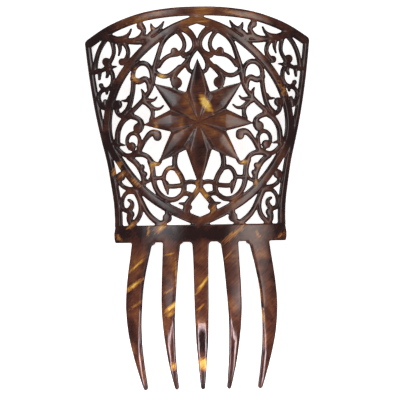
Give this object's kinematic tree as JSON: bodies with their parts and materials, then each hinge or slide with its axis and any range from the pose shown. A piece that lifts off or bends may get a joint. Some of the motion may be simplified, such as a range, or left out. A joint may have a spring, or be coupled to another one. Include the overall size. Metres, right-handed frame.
{
  "type": "peineta comb",
  "caption": "Tall bowed openwork hair comb: a pierced scroll panel round a raised faceted star, over a plain band that carries long tapering teeth.",
  "frame": {"origin": "centre of the bounding box's underside, on the surface that the comb lies on with its bulging front upward", "axes": "+X across the comb's width, +Y from the tooth tips to the top rim, +Z out of the bulging front"},
  "size_m": [0.1242, 0.211, 0.0279],
  "materials": {
    "shell": "polished dark tortoiseshell pattern"
  },
  "bodies": {
    "root": {"comb": "shell"}
  },
  "joints": []
}
